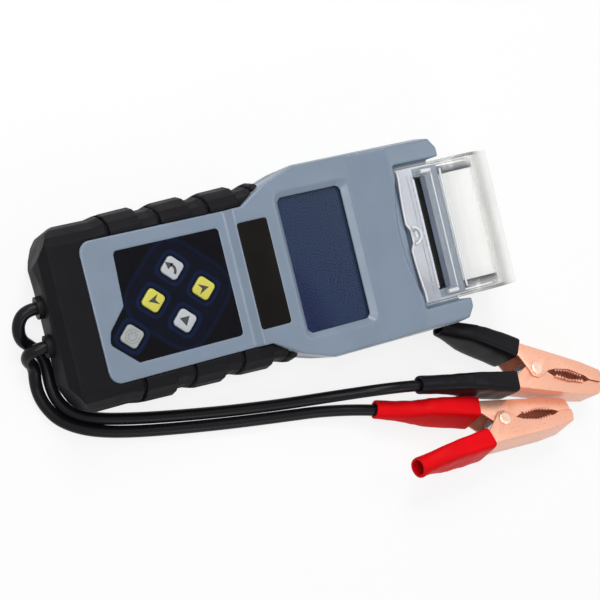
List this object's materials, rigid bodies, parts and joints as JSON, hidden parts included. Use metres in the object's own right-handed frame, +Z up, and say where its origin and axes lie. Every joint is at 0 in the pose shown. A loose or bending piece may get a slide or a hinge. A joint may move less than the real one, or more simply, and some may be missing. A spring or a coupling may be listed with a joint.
{
  "type": "battery tester",
  "caption": "Hand-held battery tester lying on its back, with a keypad, display, rubber boot, clear-lidded receipt printer and clamp leads.",
  "frame": {"origin": "bottom centre of the tester's own box, without its leads and clamps", "axes": "+X from the rubber tail to the printer, +Y across, +Z up out of the keypad face"},
  "size_m": [0.3178, 0.1797, 0.0466],
  "materials": {
    "housing": "moulded satin, fine spark texture",
    "rear_shell": "moulded satin",
    "boot_rubber": "soft matt rubber",
    "screw_steel": "zinc plated",
    "overlay": "screen-printed polyester",
    "key_grey": "satin silicone cap",
    "key_yellow": "satin silicone cap",
    "key_silver": "satin silicone cap",
    "switch": "moulded",
    "board": "solder resist",
    "label": "satin film",
    "window": "tinted",
    "display": "blue liquid crystal",
    "header": "moulded",
    "cell": "foil label",
    "contact": "nickel plated",
    "frame_steel": "zinc plated",
    "acetal": "moulded acetal",
    "sink": "extruded",
    "ceramic": "thermal head substrate",
    "blade": "dark plated",
    "pinion_brass": "cut",
    "platen_rubber": "ground",
    "motor_can": "plated",
    "paper": "thermal coated",
    "core": "wound board",
    "cover": "clear polycarbonate",
    "grommet": "matt",
    "lead_sheath": "semi-gloss sheath",
    "copper": "copper plated",
    "sleeve_red": "glossy vinyl",
    "sleeve_black": "glossy vinyl",
    "rivet": "plated",
    "spring_steel": "bright wire",
    "crimp": "tinned"
  },
  "bodies": {
    "tester": {"front_housing": "housing", "rear_housing": "rear_shell", "rubber_boot": "boot_rubber", "housing_screws": "screw_steel", "keypad_overlay": "overlay", "key_switches": "switch", "main_board": "board", "label_plate": "label", "display_lens": "window", "display_module": "display", "display_header": "header", "buzzer": "switch", "battery_cells": "cell", "battery_contacts": "contact", "battery_door": "rear_shell", "battery_door_screw": "screw_steel", "printer_frame": "frame_steel", "platen_bushes": "acetal", "print_head_sink": "sink", "print_head": "ceramic", "tear_bar": "blade", "stepper_motor": "motor_can", "paper_strip": "paper", "cover_hinge_pin": "frame_steel", "lead_grommets": "grommet", "lead_red": "lead_sheath", "lead_black": "lead_sheath", "red_cord_lever": "copper", "red_cord_sleeve": "sleeve_red", "red_rivet": "rivet", "red_spring": "spring_steel", "red_crimp": "crimp", "black_cord_lever": "copper", "black_cord_sleeve": "sleeve_black", "black_rivet": "rivet", "black_spring": "spring_steel", "black_crimp": "crimp"},
    "cover": {"printer_cover": "cover"},
    "platen": {"platen_roller": "platen_rubber", "platen_shaft": "frame_steel", "platen_gear": "acetal"},
    "idler": {"idler_gear": "acetal"},
    "pinion": {"motor_pinion": "pinion_brass", "motor_shaft": "frame_steel"},
    "paper_supply": {"paper_roll": "paper", "paper_core": "core"},
    "red_jaw": {"red_free_lever": "copper", "red_free_sleeve": "sleeve_red"},
    "black_jaw": {"black_free_lever": "copper", "black_free_sleeve": "sleeve_black"},
    "key_back_cap": {"key_back": "key_grey"},
    "key_enter_cap": {"key_enter": "key_grey"},
    "key_down_cap": {"key_down": "key_yellow"},
    "key_up_cap": {"key_up": "key_yellow"},
    "key_power_cap": {"key_power": "key_silver"}
  },
  "joints": [
    {"name": "cover_hinge", "type": "hinge", "parent": "tester", "child": "cover", "pos_m": [0.1247, 0, 0.0155], "axis": [0, 1, 0], "range_deg": [0, 95]},
    {"name": "platen_spin", "type": "hinge", "parent": "tester", "child": "platen", "pos_m": [0.0784, 0, 0.0298], "axis": [0, 1, 0], "continuous": true},
    {"name": "idler_spin", "type": "hinge", "parent": "tester", "child": "idler", "pos_m": [0.0625, 0, 0.02671], "axis": [0, 1, 0], "continuous": true},
    {"name": "pinion_spin", "type": "hinge", "parent": "tester", "child": "pinion", "pos_m": [0.04999, 0, 0.02517], "axis": [0, 1, 0], "continuous": true},
    {"name": "paper_roll_spin", "type": "hinge", "parent": "tester", "child": "paper_supply", "pos_m": [0.1051, 0, 0.024], "axis": [0, 1, 0], "continuous": true},
    {"name": "key_back_press", "type": "slide", "parent": "tester", "child": "key_back_cap", "axis": [0, 0, -1], "range_m": [0, 0.0006], "stiffness_N_per_m": 800, "springref_m": -0.0002},
    {"name": "key_enter_press", "type": "slide", "parent": "tester", "child": "key_enter_cap", "axis": [0, 0, -1], "range_m": [0, 0.0006], "stiffness_N_per_m": 800, "springref_m": -0.0002},
    {"name": "key_down_press", "type": "slide", "parent": "tester", "child": "key_down_cap", "axis": [0, 0, -1], "range_m": [0, 0.0006], "stiffness_N_per_m": 800, "springref_m": -0.0002},
    {"name": "key_up_press", "type": "slide", "parent": "tester", "child": "key_up_cap", "axis": [0, 0, -1], "range_m": [0, 0.0006], "stiffness_N_per_m": 800, "springref_m": -0.0002},
    {"name": "key_power_press", "type": "slide", "parent": "tester", "child": "key_power_cap", "axis": [0, 0, -1], "range_m": [0, 0.0006], "stiffness_N_per_m": 800, "springref_m": -0.0002},
    {"name": "red_clamp_pivot", "type": "hinge", "parent": "tester", "child": "red_jaw", "pos_m": [0.1035, -0.1126, 0.01495], "axis": [-0.1051, -0.4275, -0.8979], "range_deg": [0, 20], "stiffness_Nm_per_rad": 1.2, "springref_deg": -20.05, "deforming": ["red_spring"]},
    {"name": "black_clamp_pivot", "type": "hinge", "parent": "tester", "child": "black_jaw", "pos_m": [0.1305, -0.0895, 0.01465], "axis": [0.1394, 0.2395, 0.9608], "range_deg": [0, 20], "stiffness_Nm_per_rad": 1.2, "springref_deg": -20.05, "deforming": ["black_spring"]}
  ],
  "couplings": [
    {"joint": "idler_spin", "follows": "platen_spin", "ratio": -0.8},
    {"joint": "pinion_spin", "follows": "platen_spin", "ratio": 2}
  ]
}
